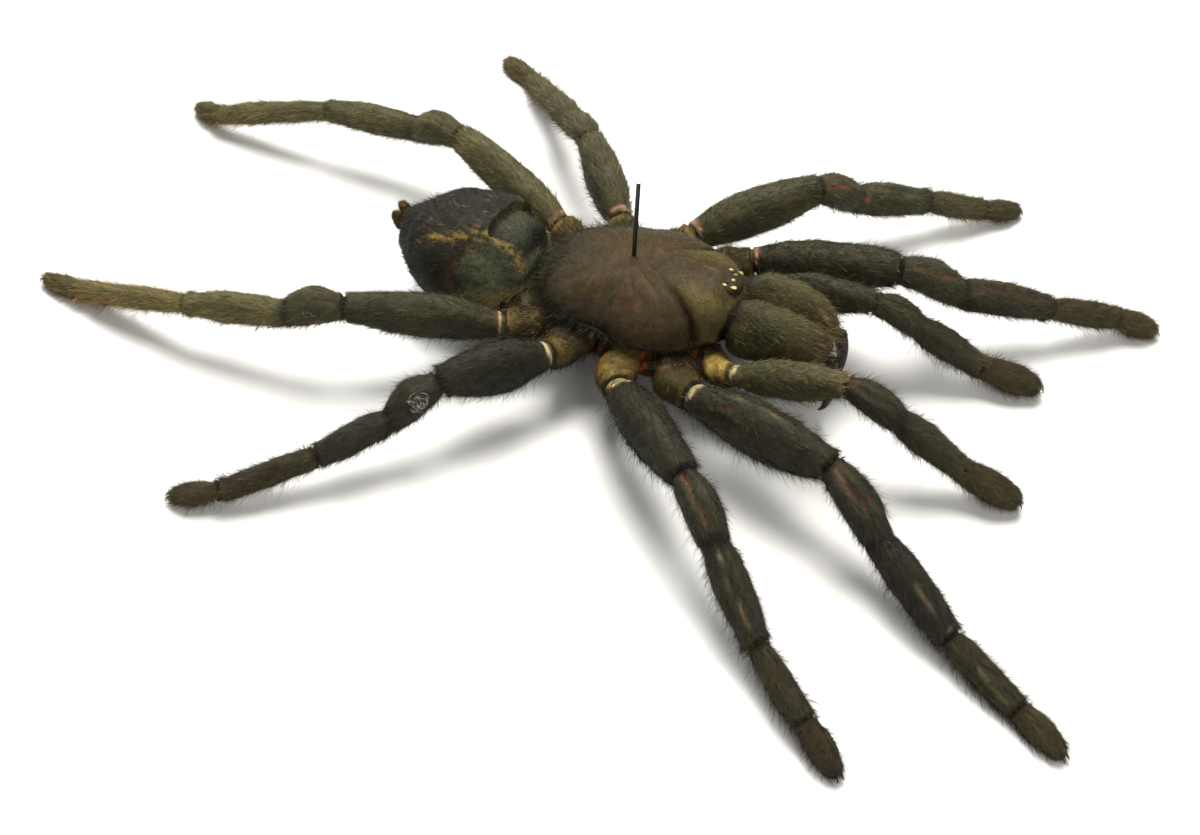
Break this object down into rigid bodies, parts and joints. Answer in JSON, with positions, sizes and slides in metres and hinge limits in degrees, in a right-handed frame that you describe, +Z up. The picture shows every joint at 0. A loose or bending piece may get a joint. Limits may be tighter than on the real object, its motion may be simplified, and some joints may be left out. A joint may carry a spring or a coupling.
{
  "type": "pinned tarantula specimen",
  "caption": "Large dried dark brown spider with spread hairy legs, bulging jaws and a shrunken round abdomen, held by an upright black insect pin through its shield.",
  "frame": {"origin": "on the surface that the feet stand on, under the middle of the whole outline", "axes": "+X the way the spider faces, +Y its left side, +Z up along the pin"},
  "size_m": [0.1822, 0.1274, 0.0367],
  "materials": {
    "shield": "dull olive-brown shell under short hair",
    "joint_skin": "olive-tan dried skin",
    "limb": "near-black shell under dense dark hair",
    "abdomen": "blue-black wrinkled skin with golden hair",
    "spinneret": "orange-brown dried skin",
    "fang": "glossy black-brown horn",
    "pin_enamel": "black enamelled steel, bright where it is cut"
  },
  "bodies": {
    "root": {"carapace": "shield", "sternum": "shield", "labium": "shield", "abdomen": "abdomen", "pedicel": "joint_skin", "insect_pin": "pin_enamel", "left_chelicera": "limb", "left_fang": "fang", "left_spinneret": "spinneret", "left_palp_coxa": "joint_skin", "left_palp_femur": "limb", "left_palp_patella_tibia": "limb", "left_palp_tarsus": "limb", "left_leg_1_coxa": "joint_skin", "left_leg_1_femur": "limb", "left_leg_1_patella_tibia": "limb", "left_leg_1_metatarsus": "limb", "left_leg_1_tarsus": "limb", "left_leg_2_coxa": "joint_skin", "left_leg_2_femur": "limb", "left_leg_2_patella_tibia": "limb", "left_leg_2_metatarsus": "limb", "left_leg_2_tarsus": "limb", "left_leg_3_coxa": "joint_skin", "left_leg_3_femur": "limb", "left_leg_3_patella_tibia": "limb", "left_leg_3_metatarsus": "limb", "left_leg_3_tarsus": "limb", "left_leg_4_coxa": "joint_skin", "left_leg_4_femur": "limb", "left_leg_4_patella_tibia": "limb", "left_leg_4_metatarsus": "limb", "left_leg_4_tarsus": "limb", "right_chelicera": "limb", "right_fang": "fang", "right_spinneret": "spinneret", "right_palp_coxa": "joint_skin", "right_palp_femur": "limb", "right_palp_patella_tibia": "limb", "right_palp_tarsus": "limb", "right_leg_1_coxa": "joint_skin", "right_leg_1_femur": "limb", "right_leg_1_patella_tibia": "limb", "right_leg_1_metatarsus": "limb", "right_leg_1_tarsus": "limb", "right_leg_2_coxa": "joint_skin", "right_leg_2_femur": "limb", "right_leg_2_patella_tibia": "limb", "right_leg_2_metatarsus": "limb", "right_leg_2_tarsus": "limb", "right_leg_3_coxa": "joint_skin", "right_leg_3_femur": "limb", "right_leg_3_patella_tibia": "limb", "right_leg_3_metatarsus": "limb", "right_leg_3_tarsus": "limb", "right_leg_4_coxa": "joint_skin", "right_leg_4_femur": "limb", "right_leg_4_patella_tibia": "limb", "right_leg_4_metatarsus": "limb", "right_leg_4_tarsus": "limb"}
  },
  "joints": []
}
